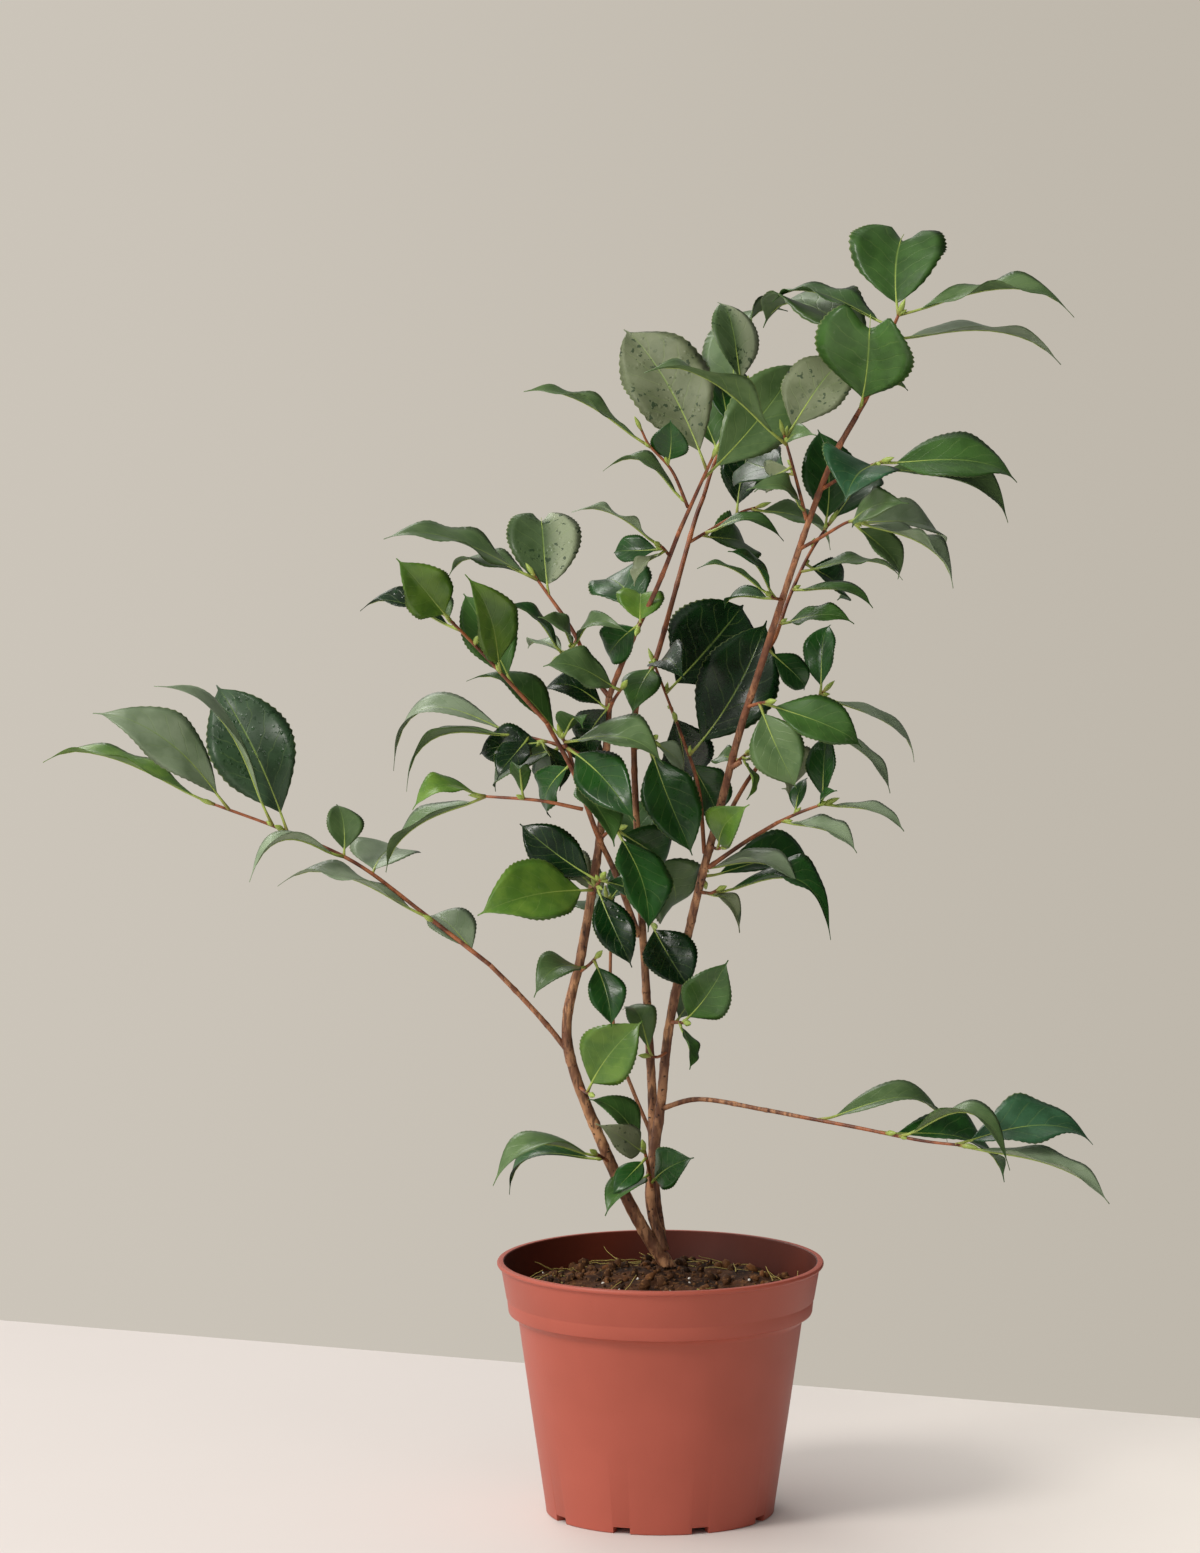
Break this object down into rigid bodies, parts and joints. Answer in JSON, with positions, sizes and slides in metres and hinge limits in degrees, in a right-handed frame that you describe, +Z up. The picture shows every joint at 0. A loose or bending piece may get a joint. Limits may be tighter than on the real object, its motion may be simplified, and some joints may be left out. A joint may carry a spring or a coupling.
{
  "type": "potted camellia shrub",
  "caption": "Young evergreen camellia shrub with slender leaning stems and glossy leaves, in its round terracotta-coloured plastic nursery pot.",
  "frame": {"origin": "centre of the pot's flat underside", "axes": "+Z up along the pot's axis, -Y the front in the picture, +X to the right seen from the front"},
  "size_m": [0.5354, 0.2456, 0.6508],
  "materials": {
    "pot": "thin terracotta-coloured polypropylene, satin",
    "soil": "lumpy bark and peat potting mix with white perlite",
    "bark": "tan-brown bark, red-brown on young shoots",
    "foliage": "glossy dark green leaves with yellow-green midribs"
  },
  "bodies": {
    "root": {"bough_back_right": "bark", "bough_front": "bark", "bough_left": "bark", "bough_low_right": "bark", "bough_right": "bark", "bough_upper_centre": "bark", "bough_upper_left": "bark", "foliage_back_right": "foliage", "foliage_back_top": "foliage", "foliage_blue": "foliage", "foliage_bright_right": "foliage", "foliage_curl": "foliage", "foliage_curled": "foliage", "foliage_dark_left": "foliage", "foliage_foot": "foliage", "foliage_foot_left": "foliage", "foliage_fork": "foliage", "foliage_fork_left": "foliage", "foliage_fork_low": "foliage", "foliage_front_left": "foliage", "foliage_front_side": "foliage", "foliage_heart": "foliage", "foliage_knot": "foliage", "foliage_left": "foliage", "foliage_left_of_stem": "foliage", "foliage_low_right": "foliage", "foliage_middle_front": "foliage", "foliage_middle_low": "foliage", "foliage_node_left": "foliage", "foliage_pale_left": "foliage", "foliage_right": "foliage", "foliage_right_low": "foliage", "foliage_right_mid": "foliage", "foliage_rosette": "foliage", "foliage_side_left": "foliage", "foliage_spur": "foliage", "foliage_stem_back": "foliage", "foliage_stem_bend": "foliage", "foliage_thin_top": "foliage", "foliage_top": "foliage", "foliage_trunk_low": "foliage", "foliage_trunk_right": "foliage", "foliage_twin": "foliage", "foliage_twist": "foliage", "foliage_upper_centre": "foliage", "foliage_upper_left": "foliage", "foliage_wet_pair": "foliage", "foliage_young": "foliage", "pot": "pot", "soil": "soil", "stem_middle": "bark", "stem_right": "bark", "stem_thin": "bark", "trunk": "bark"}
  },
  "joints": []
}
